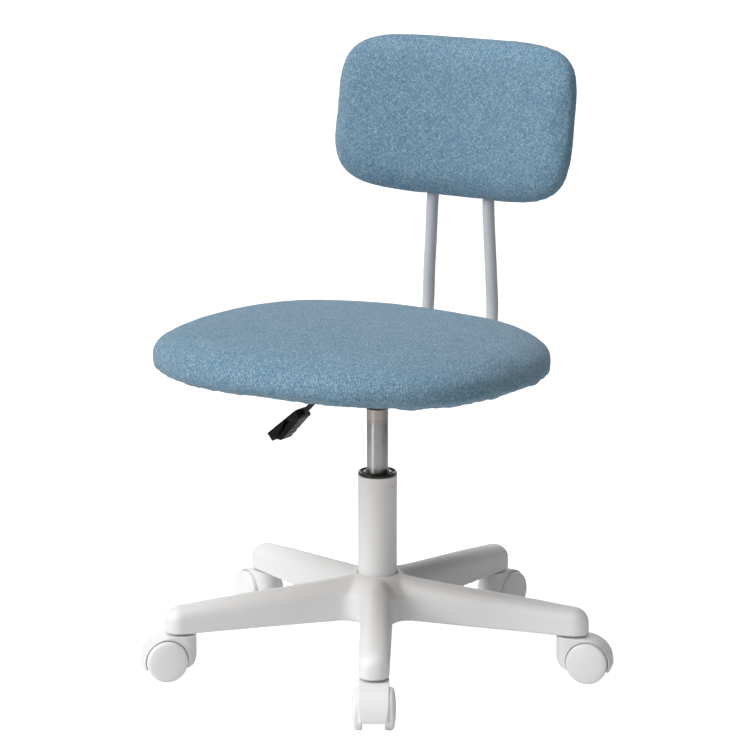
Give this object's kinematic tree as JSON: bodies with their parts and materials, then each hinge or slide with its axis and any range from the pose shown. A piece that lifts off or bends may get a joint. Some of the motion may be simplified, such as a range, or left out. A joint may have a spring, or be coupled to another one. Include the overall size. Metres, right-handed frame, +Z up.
{
  "type": "swivel office chair",
  "caption": "Armless swivel chair: rounded upholstered seat, small backrest on two tubes, gas lift with lever, star base on hooded twin-wheel casters.",
  "frame": {"origin": "on the floor, under the middle of the whole chair's box; the lift column's axis stands 5 mm to the sitter's right and 21 mm ahead of it", "axes": "+Z up; -Y is the way the sitter faces; +X is the sitter's left"},
  "size_m": [0.6068, 0.5888, 0.7905],
  "materials": {
    "white_plastic": "satin white moulded plastic",
    "white_paint": "white powder coat, fine texture",
    "grey_paint": "light grey powder coat",
    "black_plastic": "black moulded plastic, slight sheen",
    "black_paint": "black powder coat",
    "steel": "ground and polished steel",
    "dark_steel": "zinc-plated dark steel",
    "rubber": "matt black rubber",
    "board": "bare plywood",
    "fabric": "heathered blue woven upholstery cloth"
  },
  "bodies": {
    "base": {"star_base": "white_plastic", "outer_column": "white_paint", "column_bush": "black_plastic", "bearing_lower_race": "steel"},
    "rod": {"piston_rod": "steel", "piston": "dark_steel", "rod_clip": "dark_steel", "bearing_ball_cage": "steel", "bearing_upper_race": "steel", "bump_stop": "rubber"},
    "seat": {"gas_cylinder": "steel", "seat_plate": "black_paint", "taper_socket": "black_paint", "plate_screw_front_left": "dark_steel", "plate_screw_front_right": "dark_steel", "plate_screw_rear_left": "dark_steel", "plate_screw_rear_right": "dark_steel", "lever_pin": "dark_steel", "seat_board": "board", "seat_cushion": "fabric", "back_tube_left": "grey_paint", "back_tube_right": "grey_paint", "tube_screw_front_left": "dark_steel", "tube_screw_rear_left": "dark_steel", "tube_screw_front_right": "dark_steel", "tube_screw_rear_right": "dark_steel", "back_screw_lower_left": "dark_steel", "back_screw_upper_left": "dark_steel", "back_screw_lower_right": "dark_steel", "back_screw_upper_right": "dark_steel", "back_board": "board", "back_cushion": "fabric"},
    "lever": {"lever_bar": "black_paint", "lever_grip": "black_plastic"},
    "button": {"release_button": "dark_steel"},
    "caster_front_left": {"caster_front_left_hood": "white_plastic", "caster_front_left_stem": "dark_steel", "caster_front_left_axle": "steel"},
    "wheel_front_left_a": {"caster_front_left_wheel_a": "white_plastic"},
    "wheel_front_left_b": {"caster_front_left_wheel_b": "white_plastic"},
    "caster_left": {"caster_left_hood": "white_plastic", "caster_left_stem": "dark_steel", "caster_left_axle": "steel"},
    "wheel_left_a": {"caster_left_wheel_a": "white_plastic"},
    "wheel_left_b": {"caster_left_wheel_b": "white_plastic"},
    "caster_rear": {"caster_rear_hood": "white_plastic", "caster_rear_stem": "dark_steel", "caster_rear_axle": "steel"},
    "wheel_rear_a": {"caster_rear_wheel_a": "white_plastic"},
    "wheel_rear_b": {"caster_rear_wheel_b": "white_plastic"},
    "caster_right": {"caster_right_hood": "white_plastic", "caster_right_stem": "dark_steel", "caster_right_axle": "steel"},
    "wheel_right_a": {"caster_right_wheel_a": "white_plastic"},
    "wheel_right_b": {"caster_right_wheel_b": "white_plastic"},
    "caster_front_right": {"caster_front_right_hood": "white_plastic", "caster_front_right_stem": "dark_steel", "caster_front_right_axle": "steel"},
    "wheel_front_right_a": {"caster_front_right_wheel_a": "white_plastic"},
    "wheel_front_right_b": {"caster_front_right_wheel_b": "white_plastic"}
  },
  "joints": [
    {"name": "seat_swivel", "type": "hinge", "parent": "base", "child": "rod", "pos_m": [-0.00481, -0.02058, 0.0617], "axis": [0, 0, 1], "continuous": true},
    {"name": "height_lift", "type": "slide", "parent": "rod", "child": "seat", "axis": [0, 0, 1], "range_m": [-0.08, 0]},
    {"name": "lever_pull", "type": "hinge", "parent": "seat", "child": "lever", "pos_m": [-0.04981, -0.02058, 0.3827], "axis": [0, 1, 0], "range_deg": [0, 4.3], "stiffness_Nm_per_rad": 2, "springref_deg": -5.73},
    {"name": "button_press", "type": "slide", "parent": "seat", "child": "button", "axis": [0, 0, -1], "range_m": [0, 0.0035]},
    {"name": "caster_front_left_swivel", "type": "hinge", "parent": "base", "child": "caster_front_left", "pos_m": [0.13621, -0.24116, 0.0587], "axis": [0, 0, 1], "continuous": true},
    {"name": "wheel_front_left_a_spin", "type": "hinge", "parent": "caster_front_left", "child": "wheel_front_left_a", "pos_m": [0.14833, -0.26012, 0.0265], "axis": [0.8425, 0.5386, 0], "continuous": true},
    {"name": "wheel_front_left_b_spin", "type": "hinge", "parent": "caster_front_left", "child": "wheel_front_left_b", "pos_m": [0.14833, -0.26012, 0.0265], "axis": [0.8425, 0.5386, 0], "continuous": true},
    {"name": "caster_left_swivel", "type": "hinge", "parent": "base", "child": "caster_left", "pos_m": [0.24855, 0.04536, 0.0587], "axis": [0, 0, 1], "continuous": true},
    {"name": "wheel_left_a_spin", "type": "hinge", "parent": "caster_left", "child": "wheel_left_a", "pos_m": [0.26947, 0.05364, 0.0265], "axis": [-0.368, 0.9298, 0], "continuous": true},
    {"name": "wheel_left_b_spin", "type": "hinge", "parent": "caster_left", "child": "wheel_left_b", "pos_m": [0.26947, 0.05364, 0.0265], "axis": [-0.368, 0.9298, 0], "continuous": true},
    {"name": "caster_rear_swivel", "type": "hinge", "parent": "base", "child": "caster_rear", "pos_m": [0.01077, 0.24075, 0.0587], "axis": [0, 0, 1], "continuous": true},
    {"name": "wheel_rear_a_spin", "type": "hinge", "parent": "caster_rear", "child": "wheel_rear_a", "pos_m": [0.0121, 0.26321, 0.0265], "axis": [-0.9982, 0.0595, 0], "continuous": true},
    {"name": "wheel_rear_b_spin", "type": "hinge", "parent": "caster_rear", "child": "wheel_rear_b", "pos_m": [0.0121, 0.26321, 0.0265], "axis": [-0.9982, 0.0595, 0], "continuous": true},
    {"name": "caster_right_swivel", "type": "hinge", "parent": "base", "child": "caster_right", "pos_m": [-0.24854, 0.07498, 0.0587], "axis": [0, 0, 1], "continuous": true},
    {"name": "wheel_right_a_spin", "type": "hinge", "parent": "caster_right", "child": "wheel_right_a", "pos_m": [-0.26949, 0.0832, 0.0265], "axis": [-0.365, -0.931, 0], "continuous": true},
    {"name": "wheel_right_b_spin", "type": "hinge", "parent": "caster_right", "child": "wheel_right_b", "pos_m": [-0.26949, 0.0832, 0.0265], "axis": [-0.365, -0.931, 0], "continuous": true},
    {"name": "caster_front_right_swivel", "type": "hinge", "parent": "base", "child": "caster_front_right", "pos_m": [-0.17101, -0.22286, 0.0587], "axis": [0, 0, 1], "continuous": true},
    {"name": "wheel_front_right_a_spin", "type": "hinge", "parent": "caster_front_right", "child": "wheel_front_right_a", "pos_m": [-0.18619, -0.23947, 0.0265], "axis": [0.7383, -0.6744, 0], "continuous": true},
    {"name": "wheel_front_right_b_spin", "type": "hinge", "parent": "caster_front_right", "child": "wheel_front_right_b", "pos_m": [-0.18619, -0.23947, 0.0265], "axis": [0.7383, -0.6744, 0], "continuous": true}
  ],
  "couplings": [
    {"joint": "button_press", "follows": "lever_pull", "m_per_rad": 0.045}
  ]
}
